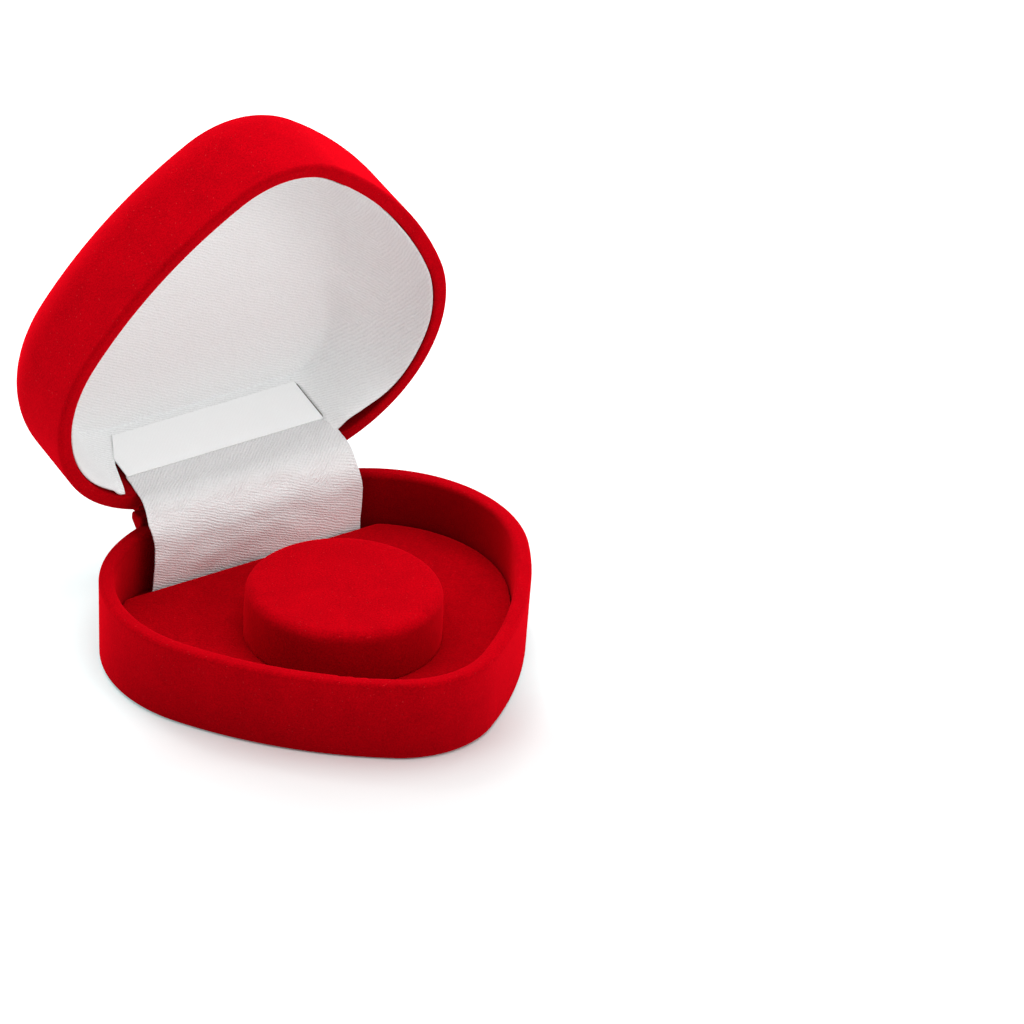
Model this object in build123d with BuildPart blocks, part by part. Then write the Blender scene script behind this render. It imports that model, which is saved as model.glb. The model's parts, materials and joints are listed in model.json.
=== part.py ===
"""Heart-shaped flocked gift box with a snap hinge, standing open.

Frame: millimetres, +Z up, origin in the middle of the underside of the base.
The tip of the heart points to -Y, the hinge runs along X at the back.
The lid is drawn shut on the base, where its sizes make sense, and is then
swung open about the hinge pin to the pose in which the box is stored.
"""
import os
from math import atan2, cos, degrees, hypot, radians, sin, sqrt, tan

from build123d import *

# Heart outline at the parting line
shoulder_radius = 34.1
shoulder_spacing = 32.2
shoulder_y = 10.0
back_radius = 40.9
back_angle = 58.8
tip_radius = 23.9
tip_y = -22.9
side_radius = 98.6
cleft_radius = 11.3

# Base shell
base_height = 19.3
base_draft = 0.7
base_wall = 3.6
floor_thickness = 2.4
bottom_radius = 1.2
rim_outer_radius = 0.8
rim_inner_radius = 1.1
hinge_wall = 4.8
hinge_wall_corner = 8.0

# Seats that carry the platform inside the base
platform_seat_z = 5.0
ledge_width = 2.0
boss_radius = 19.0
boss_wall = 2.0

# Lid shell
parting_gap = 0.3
lid_height = 26.6
lid_overhang = 0.33
lid_draft = 0.6
lid_wall = 3.0
lid_roof = 3.8
lid_top_radius = 10.5
lid_corner_radius = 3.0
lid_rim_inner_radius = 0.5

# Heart cleft scooped out of the back of the lid's top
scoop_reach = 22.5
scoop_slope = 13.0
scoop_flank = 8.5
scoop_valley_radius = 20.0

# Hinge: pin, knuckles, rail on the base, stop bar on the lid
open_angle = 78.0
pivot_set_out = 0.4
hinge_rise = 1.9
pin_radius = 0.8
pin_clearance = 0.05
pin_end_chamfer = 0.15
knuckle_radius = 1.8
hinge_gap = 0.3
centre_knuckle_half = 8.0
lid_knuckle_length = 7.7
outer_knuckle_length = 4.7
rail_half = 24.5
rail_front_depth = 2.6
rail_nose_reach = 1.5
rail_foot_drop = 4.6
rail_nose_height = 2.0
rail_nose_radius = 0.85
rail_end_radius = 0.6
stop_depth = 2.8
stop_root_depth = 5.0
stop_root_height = 7.5

# Snap spring: a bowed leaf with a hook at each end, lying in two channels
spring_width = 12.0
spring_thickness = 0.4
spring_bow_radius = 3.8
spring_hook = 1.0
spring_hook_radius = 0.5
spring_base_drop = 9.8
spring_lid_rise = 8.6
spring_clearance = 0.1
channel_depth = 1.3
channel_side_gap = 0.5
hook_slot_height = 0.8

# Lid lining: stiff card with satin over it
lining_gap = 0.1
card_thickness = 0.5
glue_gap = 0.05
satin_thickness = 0.4
lining_edge_set_in = 0.5
window_gap = 0.5

# Satin strip over the hinge
strip_width = 53.0
strip_shift = 0.9
strip_side_room = 1.5
strip_thickness = 0.3
strip_gap = 0.05
strip_tab_top_drop = 3.2
strip_fold_rise = 9.3
strip_fold_radius = 1.0
strip_drape_radius = 11.0
strip_foot_depth = 3.2
strip_tail_gap = 0.5

# Platform and puck that a bracelet lies round
platform_side_gap = 0.5
platform_back_gap = 0.25
platform_corner = 2.0
board_thickness = 1.6
velvet_thickness = 0.8
velvet_edge_radius = 0.5
puck_radius = 22.0
puck_y = -1.9
puck_height = 12.0
puck_velvet = 0.9
puck_edge_radius = 2.0

overrun = 5.0

# Worked out from the sizes above
half_spacing = shoulder_spacing / 2
half_width = half_spacing + shoulder_radius
side_to_tip = side_radius - tip_radius
side_to_shoulder = side_radius - shoulder_radius
tip_to_shoulder = hypot(half_spacing, shoulder_y - tip_y)
along = (side_to_tip**2 - side_to_shoulder**2 + tip_to_shoulder**2) / (2 * tip_to_shoulder)
across = sqrt(side_to_tip**2 - along**2)
unit_x = half_spacing / tip_to_shoulder
unit_y = (shoulder_y - tip_y) / tip_to_shoulder
side_x = along * unit_x - across * unit_y
side_y = tip_y + along * unit_y + across * unit_x
back_x = half_spacing - (back_radius - shoulder_radius) * cos(radians(back_angle))
back_y = shoulder_y - (back_radius - shoulder_radius) * sin(radians(back_angle))
cleft_y = back_y + sqrt((back_radius + cleft_radius) ** 2 - back_x**2)
tip_angle = degrees(atan2(tip_y - side_y, -side_x))
shoulder_angle = degrees(atan2(shoulder_y - side_y, half_spacing - side_x))
cleft_angle = degrees(atan2(cleft_y - back_y, -back_x))
heart_end_y = back_y + back_radius

# The hinge wall stands where the lid is wide enough inside for the strip, clear of the cleft
wall_half = strip_width / 2 + strip_shift + strip_side_room
wide_enough_y = back_y + sqrt((back_radius - lid_wall) ** 2 - (wall_half - back_x) ** 2)
hinge_wall_y = min(wide_enough_y, cleft_y - cleft_radius - hinge_wall)
strip_foot_y = hinge_wall_y - strip_foot_depth
scoop_y = heart_end_y - scoop_reach
pivot_y = heart_end_y + pivot_set_out
rail_front_y = heart_end_y - rail_front_depth
rail_back_y = pivot_y + rail_nose_reach

lid_bottom = base_height + parting_gap
lid_top = base_height + lid_height
lid_ceiling = lid_top - lid_roof
base_taper = degrees(atan2(base_draft, base_height))
lid_taper = degrees(atan2(lid_draft, lid_top - lid_bottom))
pivot_z = base_height + hinge_rise
rail_top = pivot_z - hinge_gap / 2
stop_bottom = pivot_z + hinge_gap / 2
lid_knuckle_start = centre_knuckle_half + hinge_gap
lid_knuckle_end = lid_knuckle_start + lid_knuckle_length
outer_knuckle_start = lid_knuckle_end + hinge_gap
pin_half = outer_knuckle_start + outer_knuckle_length
hinge_line = Axis((0, pivot_y, pivot_z), (1, 0, 0))

platform_board_top = platform_seat_z + board_thickness
platform_top = platform_board_top + velvet_thickness
platform_back_y = strip_foot_y - strip_thickness / 2 - platform_back_gap

opening = radians(open_angle)
spring_y = hinge_wall_y + channel_depth - spring_clearance - spring_thickness / 2
base_spring_z = base_height - spring_base_drop
lid_spring_z = base_height + spring_lid_rise
scoop_rise = half_width * tan(radians(scoop_flank))
scoop_plane = Plane(
    origin=(0, scoop_y, lid_top),
    x_dir=(-1, 0, 0),
    z_dir=(0, cos(radians(scoop_slope)), -sin(radians(scoop_slope))),
)

lining_bottom = lid_bottom + lining_edge_set_in
lining_inset = lid_wall + lining_gap
lining_ceiling = lid_ceiling - lining_gap
card_inset = lining_inset + card_thickness
card_ceiling = lining_ceiling - card_thickness
card_corner = lid_corner_radius - lining_gap - card_thickness
satin_inset = card_inset + glue_gap
satin_ceiling = card_ceiling - glue_gap
board_inset = base_wall + platform_side_gap + velvet_thickness + glue_gap


def opened(y, z):
    """Where a point of the closed lid, seen along X, lies when the lid is open."""
    dy = y - pivot_y
    dz = z - pivot_z
    open_y = pivot_y + dy * cos(opening) + dz * sin(opening)
    open_z = pivot_z - dy * sin(opening) + dz * cos(opening)
    return (open_y, open_z)


def on_stop(reach):
    """Point of the lid's stop face, drawn shut, at a distance from the hinge line."""
    out_y = reach * cos(opening) - hinge_gap / 2 * sin(opening)
    out_z = reach * sin(opening) + hinge_gap / 2 * cos(opening)
    return (pivot_y + out_y, pivot_z + out_z)


def swing_open(shape):
    """Turn a closed lid piece about the hinge line to the open pose."""
    return shape.rotate(hinge_line, -open_angle)


def heart_face(inset):
    """Heart of tangent arcs, every arc drawn in by inset, in the current sketch."""
    with BuildLine() as outline:
        CenterArc((0, tip_y), tip_radius - inset, -180 - tip_angle, 180 + 2 * tip_angle)
        CenterArc((side_x, side_y), side_radius - inset, tip_angle, shoulder_angle - tip_angle)
        CenterArc(
            (half_spacing, shoulder_y),
            shoulder_radius - inset,
            shoulder_angle,
            back_angle - shoulder_angle,
        )
        CenterArc((back_x, back_y), back_radius - inset, back_angle, cleft_angle - back_angle)
        CenterArc((0, cleft_y), cleft_radius + inset, cleft_angle - 180, 180 - 2 * cleft_angle)
        CenterArc((-back_x, back_y), back_radius - inset, 180 - cleft_angle, cleft_angle - back_angle)
        CenterArc(
            (-half_spacing, shoulder_y),
            shoulder_radius - inset,
            180 - back_angle,
            back_angle - shoulder_angle,
        )
        CenterArc((-side_x, side_y), side_radius - inset, 180 - shoulder_angle, shoulder_angle - tip_angle)
    make_face(outline.edges())


def cavity_face(inset, end_y, corner):
    """Heart drawn in by inset and cut straight across at the back, its corners rounded by growing it."""
    with BuildSketch(mode=Mode.PRIVATE) as shrunk:
        heart_face(inset + corner)
        with Locations((0, end_y - corner)):
            Rectangle(
                2 * half_width,
                half_width,
                align=(Align.CENTER, Align.MIN),
                mode=Mode.SUBTRACT,
            )
    offset(shrunk.sketch, amount=corner)


def lid_hollow(inset, bottom, top, radius):
    """Space inside the lid, drawn in by inset from the heart, with a rounded top edge."""
    with BuildPart() as hollow:
        with BuildSketch(Plane.XY.offset(bottom)) as plan:
            cavity_face(inset, hinge_wall_y + lid_wall - inset, hinge_wall_corner)
        extrude(plan.sketch, amount=top - bottom)
        fillet(hollow.faces().sort_by(Axis.Z)[-1].edges(), radius)
    return hollow.part


def hinge_bar(start_x, end_x, radius, mode=Mode.ADD):
    """Round bar on the hinge line from start_x to end_x, added to or cut from the current part."""
    with BuildSketch(Plane.YZ.offset(start_x)) as section:
        with Locations((pivot_y, pivot_z)):
            Circle(radius)
    extrude(section.sketch, amount=end_x - start_x, mode=mode)


def spring_channel(bottom, top):
    """Channel in the hinge wall for a leg of the spring, cut from the current part."""
    with BuildSketch(Plane.XY.offset(bottom)) as plan:
        with Locations((0, hinge_wall_y + channel_depth)):
            Rectangle(
                spring_width + 2 * channel_side_gap,
                channel_depth + overrun,
                align=(Align.CENTER, Align.MAX),
            )
    extrude(plan.sketch, amount=top - bottom, mode=Mode.SUBTRACT)


def hook_slot(middle_z):
    """Slot behind the channel for the hook at the end of the spring."""
    with BuildSketch(Plane.XY.offset(middle_z - hook_slot_height / 2)) as plan:
        with Locations((0, spring_y)):
            Rectangle(
                spring_width + 2 * channel_side_gap,
                spring_hook + spring_clearance,
                align=(Align.CENTER, Align.MIN),
            )
    extrude(plan.sketch, amount=hook_slot_height, mode=Mode.SUBTRACT)


def strip_window():
    """Opening for the strip in the back wall of the lining, cut from the current part."""
    with BuildSketch(Plane.XY.offset(lining_bottom - overrun)) as plan:
        with Locations((strip_shift, hinge_wall_y + lining_gap)):
            Rectangle(
                strip_width + 2 * window_gap,
                overrun,
                align=(Align.CENTER, Align.MAX),
            )
    extrude(plan.sketch, amount=strip_tab_top + window_gap - lining_bottom + overrun, mode=Mode.SUBTRACT)


stop_corner = on_stop((hinge_gap / 2) * (1 - cos(opening)) / sin(opening))
stop_edge = on_stop(stop_depth)
stop_far = on_stop(stop_depth + overrun)
strip_tab_y = hinge_wall_y - strip_gap - strip_thickness / 2
strip_tab_top = lid_ceiling - strip_tab_top_drop
strip_fold = opened(strip_tab_y, base_height + strip_fold_rise)
base_knuckles = [
    (-pin_half, -outer_knuckle_start),
    (-centre_knuckle_half, centre_knuckle_half),
    (outer_knuckle_start, pin_half),
]
lid_knuckles = [
    (-lid_knuckle_end, -lid_knuckle_start),
    (lid_knuckle_start, lid_knuckle_end),
]


# Rail along the back edge of the base, on which the open lid comes to rest
with BuildPart() as hinge_rail:
    with BuildSketch(Plane.YZ.offset(-rail_half)) as rail_section:
        with BuildLine():
            Polyline(
                (rail_front_y, base_height - rail_foot_drop),
                (rail_back_y, rail_top - rail_nose_height),
                (rail_back_y, rail_top),
                (rail_front_y, rail_top),
                close=True,
            )
        make_face()
        fillet(rail_section.vertices().group_by(Axis.X)[-1], rail_nose_radius)
    extrude(amount=2 * rail_half)
    fillet(hinge_rail.faces().filter_by(Axis.X).edges(), rail_end_radius)


# Stop bar along the back edge of the lid, drawn shut
with BuildPart() as stop_bar:
    with BuildSketch(Plane.YZ.offset(-rail_half)):
        with BuildLine():
            Polyline(
                (pivot_y - stop_root_depth, stop_bottom),
                stop_corner,
                stop_edge,
                (pivot_y - stop_root_depth, pivot_z + stop_root_height),
                close=True,
            )
        make_face()
    extrude(amount=2 * rail_half)
    fillet(stop_bar.faces().filter_by(Axis.X).edges(), rail_end_radius)


# Base shell: drafted heart tray with a hinge rail on its back edge
with BuildPart() as base_shell:
    with BuildSketch():
        heart_face(base_draft)
    extrude(amount=base_height, taper=-base_taper)
    fillet(base_shell.faces().sort_by(Axis.Z)[0].edges(), bottom_radius)
    with BuildSketch(Plane.XY.offset(platform_seat_z)):
        cavity_face(base_wall, hinge_wall_y, hinge_wall_corner)
    extrude(amount=base_height, mode=Mode.SUBTRACT)
    fillet(base_shell.faces().sort_by(Axis.Z)[-1].outer_wire().edges(), rim_outer_radius)
    fillet(base_shell.faces().sort_by(Axis.Z)[-1].inner_wires()[0].edges(), rim_inner_radius)

    # Lower pocket, which leaves a ledge along the wall and a round boss under the puck
    with BuildSketch(Plane.XY.offset(floor_thickness)):
        cavity_face(base_wall + ledge_width, platform_back_y - ledge_width, platform_corner)
        with Locations((0, puck_y)):
            Circle(boss_radius, mode=Mode.SUBTRACT)
            Circle(boss_radius - boss_wall)
    extrude(amount=platform_seat_z - floor_thickness + overrun, mode=Mode.SUBTRACT)

    # Rail with the base knuckles, and room between them for those of the lid
    add(hinge_rail.part)
    for start_x, end_x in base_knuckles:
        hinge_bar(start_x, end_x, knuckle_radius)
    for start_x, end_x in lid_knuckles:
        hinge_bar(start_x - hinge_gap, end_x + hinge_gap, knuckle_radius + hinge_gap, Mode.SUBTRACT)
    hinge_bar(-pin_half, pin_half, pin_radius + pin_clearance, Mode.SUBTRACT)

    # Channel in the hinge wall for the lower leg of the spring, with a slot for its hook
    spring_channel(base_spring_z, base_height + overrun)
    hook_slot(base_spring_z)


# Lid shell, drawn shut: heart cover with a soft top edge and a scooped cleft
with BuildPart() as closed_lid:
    with BuildSketch(Plane.XY.offset(lid_bottom)):
        heart_face(-lid_overhang)
    extrude(amount=lid_top - lid_bottom, taper=lid_taper)
    fillet(closed_lid.faces().sort_by(Axis.Z)[-1].edges(), lid_top_radius)

    # Cleft: a rounded V cut that runs down towards the back
    with BuildSketch(scoop_plane) as scoop_section:
        with BuildLine():
            Polyline(
                (0, 0),
                (half_width, scoop_rise),
                (half_width, scoop_rise + overrun),
                (-half_width, scoop_rise + overrun),
                (-half_width, scoop_rise),
                close=True,
            )
        make_face()
        fillet(scoop_section.vertices().sort_by(Axis.Y)[0], scoop_valley_radius)
    extrude(amount=half_width, mode=Mode.SUBTRACT)

    add(lid_hollow(lid_wall, lid_bottom - overrun, lid_ceiling, lid_corner_radius), mode=Mode.SUBTRACT)
    fillet(closed_lid.faces().sort_by(Axis.Z)[0].outer_wire().edges(), rim_outer_radius)
    fillet(closed_lid.faces().sort_by(Axis.Z)[0].inner_wires()[0].edges(), lid_rim_inner_radius)

    # Room for the base rail under the lid and behind its stop face
    with BuildSketch(Plane.YZ.offset(-rail_half - hinge_gap)):
        with BuildLine():
            Polyline(
                (rail_front_y - hinge_gap, lid_bottom - overrun),
                (rail_front_y - hinge_gap, stop_bottom),
                stop_corner,
                stop_far,
                (stop_far[0] + overrun, stop_far[1]),
                (stop_far[0] + overrun, lid_bottom - overrun),
                close=True,
            )
        make_face()
    extrude(amount=2 * (rail_half + hinge_gap), mode=Mode.SUBTRACT)

    # Stop bar with the lid knuckles, and room between them for those of the base
    add(stop_bar.part)
    for start_x, end_x in base_knuckles:
        hinge_bar(start_x - hinge_gap, end_x + hinge_gap, knuckle_radius + hinge_gap, Mode.SUBTRACT)
    for start_x, end_x in lid_knuckles:
        hinge_bar(start_x, end_x, knuckle_radius)
    hinge_bar(-pin_half, pin_half, pin_radius + pin_clearance, Mode.SUBTRACT)

    # Channel for the upper leg of the spring
    spring_channel(lid_bottom - overrun, lid_spring_z)
    hook_slot(lid_spring_z)
lid_shell = swing_open(closed_lid.part)


# Hinge pin through all the knuckles
with BuildPart() as hinge_pin:
    hinge_bar(-pin_half, pin_half, pin_radius)
    chamfer(hinge_pin.edges().filter_by(GeomType.CIRCLE), pin_end_chamfer)


# Snap spring: one leaf bowed from the base channel to the lid channel
with BuildPart() as snap_spring:
    with BuildSketch(Plane.YZ.offset(-spring_width / 2)):
        with BuildLine():
            FilletPolyline(
                (spring_y + spring_hook, base_spring_z),
                (spring_y, base_spring_z),
                (spring_y, pivot_z + (pivot_y - spring_y) * tan(opening / 2)),
                opened(spring_y, lid_spring_z),
                opened(spring_y + spring_hook, lid_spring_z),
                radius=[spring_hook_radius, spring_bow_radius, spring_hook_radius],
            )
        trace(line_width=spring_thickness)
    extrude(amount=spring_width)


# Lid lining: card against the shell, satin over the card, both open behind the strip
with BuildPart() as closed_card:
    add(lid_hollow(lining_inset, lining_bottom, lining_ceiling, lid_corner_radius - lining_gap))
    add(
        lid_hollow(card_inset, lining_bottom - overrun, card_ceiling, card_corner),
        mode=Mode.SUBTRACT,
    )
    strip_window()
lining_card = swing_open(closed_card.part)

with BuildPart() as closed_satin:
    add(lid_hollow(satin_inset, lining_bottom, satin_ceiling, card_corner - glue_gap))
    add(
        lid_hollow(
            satin_inset + satin_thickness,
            lining_bottom - overrun,
            satin_ceiling - satin_thickness,
            card_corner - glue_gap - satin_thickness,
        ),
        mode=Mode.SUBTRACT,
    )
    strip_window()
lining_satin = swing_open(closed_satin.part)


# Satin strip: tab on the lid's hinge wall, fold, drape over the hinge, tail behind the platform
with BuildPart() as hinge_strip:
    with BuildSketch(Plane.YZ.offset(strip_shift - strip_width / 2)):
        with BuildLine():
            FilletPolyline(
                opened(strip_tab_y, strip_tab_top),
                strip_fold,
                (strip_foot_y, strip_fold[1]),
                (strip_foot_y, platform_seat_z + strip_tail_gap),
                radius=[strip_fold_radius, strip_drape_radius],
            )
        trace(line_width=strip_thickness)
    extrude(amount=strip_width)


# Platform: velvet wrapped over a board, straight at the back where the strip goes down
with BuildPart() as platform_board:
    with BuildSketch(Plane.XY.offset(platform_seat_z)):
        cavity_face(board_inset, platform_back_y - velvet_thickness - glue_gap, platform_corner)
    extrude(amount=board_thickness)

with BuildPart() as platform_velvet:
    with BuildSketch(Plane.XY.offset(platform_seat_z)):
        cavity_face(base_wall + platform_side_gap, platform_back_y, platform_corner)
    extrude(amount=platform_top - platform_seat_z)
    fillet(platform_velvet.faces().sort_by(Axis.Z)[-1].edges(), velvet_edge_radius)
    with BuildSketch(Plane.XY.offset(platform_seat_z)):
        cavity_face(board_inset - glue_gap, platform_back_y - velvet_thickness, platform_corner)
    extrude(amount=board_thickness + glue_gap, mode=Mode.SUBTRACT)


# Puck: velvet cap over a round core
with BuildPart() as puck_core:
    with BuildSketch(Plane.XY.offset(platform_top)):
        with Locations((0, puck_y)):
            Circle(puck_radius - puck_velvet - glue_gap)
    extrude(amount=puck_height - puck_velvet - glue_gap)

with BuildPart() as puck_velvet_cap:
    with BuildSketch(Plane.XY.offset(platform_top)):
        with Locations((0, puck_y)):
            Circle(puck_radius)
    extrude(amount=puck_height)
    fillet(puck_velvet_cap.faces().sort_by(Axis.Z)[-1].edges(), puck_edge_radius)
    with BuildSketch(Plane.XY.offset(platform_top)):
        with Locations((0, puck_y)):
            Circle(puck_radius - puck_velvet)
    extrude(amount=puck_height - puck_velvet, mode=Mode.SUBTRACT)


pieces = {
    "base_shell": base_shell.part,
    "lid_shell": lid_shell,
    "hinge_pin": hinge_pin.part,
    "snap_spring": snap_spring.part,
    "lining_card": lining_card,
    "lining_satin": lining_satin,
    "hinge_strip": hinge_strip.part,
    "platform_board": platform_board.part,
    "platform_velvet": platform_velvet.part,
    "puck_core": puck_core.part,
    "puck_velvet": puck_velvet_cap.part,
}
os.makedirs("parts", exist_ok=True)
for name, piece in pieces.items():
    piece.label = name
    export_step(piece, f"parts/{name}.step")
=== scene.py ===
"""Heart gift box: its flock, velvet, satin and hinge pieces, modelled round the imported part.

The frame is loaded first, each operator then makes one piece or group of like pieces, and the
stage lights them. Outline sizes are millimetres, as on the drawing, and meshes are metres. The
lid's pieces are modelled shut, where their sizes make sense, and then swung open on the hinge.
"""
import json
import math

import bmesh
import bpy
from mathutils import Matrix, Vector, noise


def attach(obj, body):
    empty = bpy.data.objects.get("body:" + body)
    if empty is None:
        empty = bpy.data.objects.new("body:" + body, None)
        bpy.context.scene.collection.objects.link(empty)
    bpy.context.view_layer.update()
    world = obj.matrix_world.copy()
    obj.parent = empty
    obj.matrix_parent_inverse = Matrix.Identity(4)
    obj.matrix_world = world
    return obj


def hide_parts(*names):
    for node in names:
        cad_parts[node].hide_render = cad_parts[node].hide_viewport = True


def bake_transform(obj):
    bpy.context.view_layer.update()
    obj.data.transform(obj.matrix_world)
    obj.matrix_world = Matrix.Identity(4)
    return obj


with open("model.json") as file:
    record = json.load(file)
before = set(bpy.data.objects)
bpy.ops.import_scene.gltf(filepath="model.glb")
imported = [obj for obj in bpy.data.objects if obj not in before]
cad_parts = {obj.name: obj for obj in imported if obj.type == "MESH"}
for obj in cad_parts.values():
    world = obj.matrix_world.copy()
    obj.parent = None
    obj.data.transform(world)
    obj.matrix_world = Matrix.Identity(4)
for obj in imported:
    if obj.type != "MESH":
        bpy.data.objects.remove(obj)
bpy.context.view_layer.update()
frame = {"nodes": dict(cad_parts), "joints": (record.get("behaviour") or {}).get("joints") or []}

bl_info = {
    "name": "Heart gift box",
    "version": (1, 0, 0),
    "blender": (4, 5, 0),
    "location": "View3D > Sidebar > Heart box",
    "description": "Models the velvet, satin and hinge pieces of a flocked heart box round its frame",
    "category": "Object",
}

MM = 0.001

# Heart outline at the parting line, in millimetres and degrees
SHOULDER_RADIUS = 34.1
SHOULDER_X = 16.1
SHOULDER_Y = 10.0
BACK_RADIUS = 40.9
BACK_ANGLE = 58.8
TIP_RADIUS = 23.9
TIP_Y = -22.9
SIDE_RADIUS = 98.6

# Levels, walls and gaps, in millimetres
HINGE_WALL_Y = 38.389
HINGE_CORNER = 8.0
LID_WALL = 3.0
PLATFORM_SEAT = 5.0
PLATFORM_TOP = 7.4
PLATFORM_INSET = 4.1
PLATFORM_BACK_Y = 34.79
PLATFORM_CORNER = 2.0
PLATFORM_EDGE = 0.9
PLATFORM_MIDDLE_Y = -4.0
PLATFORM_TUCK = 0.05
PLATFORM_HEM = 0.7
PLATFORM_SAG = 0.07
PLATFORM_DISH = 0.05
PUCK_TOP = 20.1
PUCK_RADIUS = 22.0
PUCK_Y = -1.9
PAD_POINTS = 180
PAD_RADIUS = 21.85
PAD_HEM_RADIUS = 21.95
PAD_HEM_Z = 7.42
PAD_FOOT_Z = 7.7
PAD_FACE_Z = 19.92
PAD_SWELL = 0.12
PAD_CROWN = 0.16
PAD_RIPPLE = 0.05
LINING_BOTTOM = 20.1
LINING_INSET = 4.05
LINING_RIPPLE = 0.10
CEILING_RIPPLE = 0.12
CEILING_MIDDLE_Y = -2.0
CEILING_NORMAL = 0.6
WALL_ROUND = 44.0
CARD_BEHIND = 0.37
CARD_THICKNESS = 0.45
CARD_KEEP_X = 25.0
STRIP_CUT = 53.0
STRIP_COLUMNS = 64
STRIP_FOOT_Y = 35.19
STRIP_FOOT_Z = 5.6
STRIP_FOLD = 24.9
STRIP_BEND_DROP = 0.42
STRIP_BEND_BACK = 5.2
STRIP_KICK = 0.5
STRIP_WANDER = 0.18
STRIP_FRAY = 0.14
STRIP_LIFT = 0.8
STRIP_FINE = 0.3
TAB_TOP = 36.9
TAB_LEAN = 1.02
TAB_OFF_WALL = 1.0
SPRING_Y = 39.389
SPRING_BOW = 3.8
SPRING_HOOK = 0.9
SPRING_WIDTH = 12.0
SPRING_LID_END = 27.9
SPRING_BASE_END = 9.5

# Lining wall from its edge at the rim to the ceiling: step in from the wall, and height
LINING_WALL = (
    (-0.62, 20.1), (-0.45, 20.5), (-0.1, 21.3), (0.1, 22.5), (0.4, 24.0), (0.9, 25.6), (1.5, 27.2),
    (2.3, 28.8), (3.2, 30.4), (4.3, 32.0), (5.6, 33.6), (7.0, 35.1), (8.4, 36.5), (9.7, 37.7),
    (10.5, 38.3), (11.2, 38.7), (12.0, 38.98), (12.9, 39.13), (14.0, 39.2),
)
# How far that wall leans in along the lid: place from tip to hinge, and share of the lean
LINING_LEAN = (
    (-46.0, 0.5), (-30.0, 0.56), (-18.0, 0.68), (-8.0, 0.95), (0.0, 1.15), (8.0, 1.3), (15.0, 1.24),
    (22.0, 0.98), (29.4, 0.56), (33.8, 0.28), (36.5, 0.1), (37.4, 0.07), (40.0, 0.07),
)
# Strip from its fold over the lid's edge, as steps back and up from the fold
STRIP_ROLL = (
    (0.12, -0.10), (0.2, -0.28), (0.06, -0.46), (-0.5, -0.6), (-1.4, -0.78), (-2.6, -0.95),
    (-3.8, -1.1),
)
# Side edges of the strip: distance below its fold, left edge and right edge
STRIP_EDGES = (
    (-12.0, -22.2, 25.8), (-5.6, -25.6, 25.95), (0.0, -25.6, 26.1), (4.0, -25.7, 27.0),
    (9.0, -26.3, 27.7), (14.0, -26.6, 28.2), (20.0, -25.5, 29.2), (40.0, -25.7, 29.3),
)
# Edges of the lining either side of the strip: height, left edge and right edge
WINDOW_EDGES = (
    (20.1, -29.0, 24.6), (22.0, -28.4, 25.0), (24.0, -27.8, 25.7), (25.5, -27.3, 26.4),
    (30.0, -25.9, 26.4), (31.5, -24.2, 26.4), (34.0, -22.4, 26.4), (38.3, -20.0, 26.4),
)
# Points of the lining's loop that become those edges, and where their sideways step fades out
MARK_RIGHT, MARK_LEFT, MARK_MIDDLE = 27.9, 26.1, 12.0
SHIFT_FROM, SHIFT_RIGHT_TO, SHIFT_LEFT_TO = 8.0, 33.0, 32.0
SHIFT_FROM_Y, WINDOW_FROM_Y, WINDOW_TOP = HINGE_WALL_Y - 6.0, HINGE_WALL_Y - 4.0, TAB_TOP - 0.35
# Loose edge of the lining by the hinge: middle across and along, reach across and along, and share
LOOSE_RIGHT = (32.0, 34.5, 7.5, 6.0, 1.0)
LOOSE_LEFT = (-31.0, 35.5, 7.0, 6.0, 0.3)
LOOSE_START, LOOSE_FULL, LOOSE_HEIGHT = 25.5, 29.0, 15.0
# Right edge tucked in behind the strip near the rim: depth, and where it begins and ends
TUCK_DEPTH, TUCK_FROM_X, TUCK_FULL_X, TUCK_END_X = 0.4, 15.0, 25.0, 27.0
TUCK_FULL_Z, TUCK_END_Z = 24.5, 26.0
# Along the strip, below its fold: a hollow, a swell and the lift of its right edge, middle and reach
HOLLOW_AT, SWELL_AT, LIFT_AT = (5.2, 2.2), (10.5, 2.6), (3.2, 2.2)
# Depth of the hollow in ripples, its share at the right edge, and where that edge and its lift begin
HOLLOW_DEPTH, HOLLOW_SHARE, HOLLOW_END_X, LIFT_FROM_X, LIFT_FULL_X = 2.3, 0.35, 22.0, 20.5, 24.5
# Lamps: place, aim and width in metres
LAMPS = {
    "top_lamp": ((0.1, 0.1, 1.5), (0.0, 0.0, 0.0), 1.4),
    "back_lamp": ((0.2, 1.3, 1.2), (0.0, 0.0, 0.03), 1.0),
    "front_lamp": ((0.7, -1.4, 0.9), (0.0, 0.0, 0.03), 1.0),
}
# Floor: its width, the slant and the near and far end of the fill's soft start, and the fill's tint.
# The fill is painted light, a glow for the camera that lifts the box's shadow beside and behind it, and
# its cyan tint cancels the red that the box throws on the floor
FLOOR_SIZE, FILL_SLANT, FILL_START, FILL_FULL = 60.0, 0.44, -0.045, -0.006
FILL_RED_CANCEL_TINT = (0.6, 1.0, 1.0, 1.0)
COLOUR = {"size": 3, "min": 0.0, "max": 1.0, "subtype": "COLOR"}

HINGE = frame["joints"][0]
PIVOT = Vector(HINGE["pos_m"])
OPEN_ANGLE = -math.radians(HINGE["range_deg"][0])
SWING = (
    Matrix.Translation(PIVOT)
    @ Matrix.Rotation(-OPEN_ANGLE, 4, "X")
    @ Matrix.Translation(-PIVOT)
)


# Sizes and colours that a user would change


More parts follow.
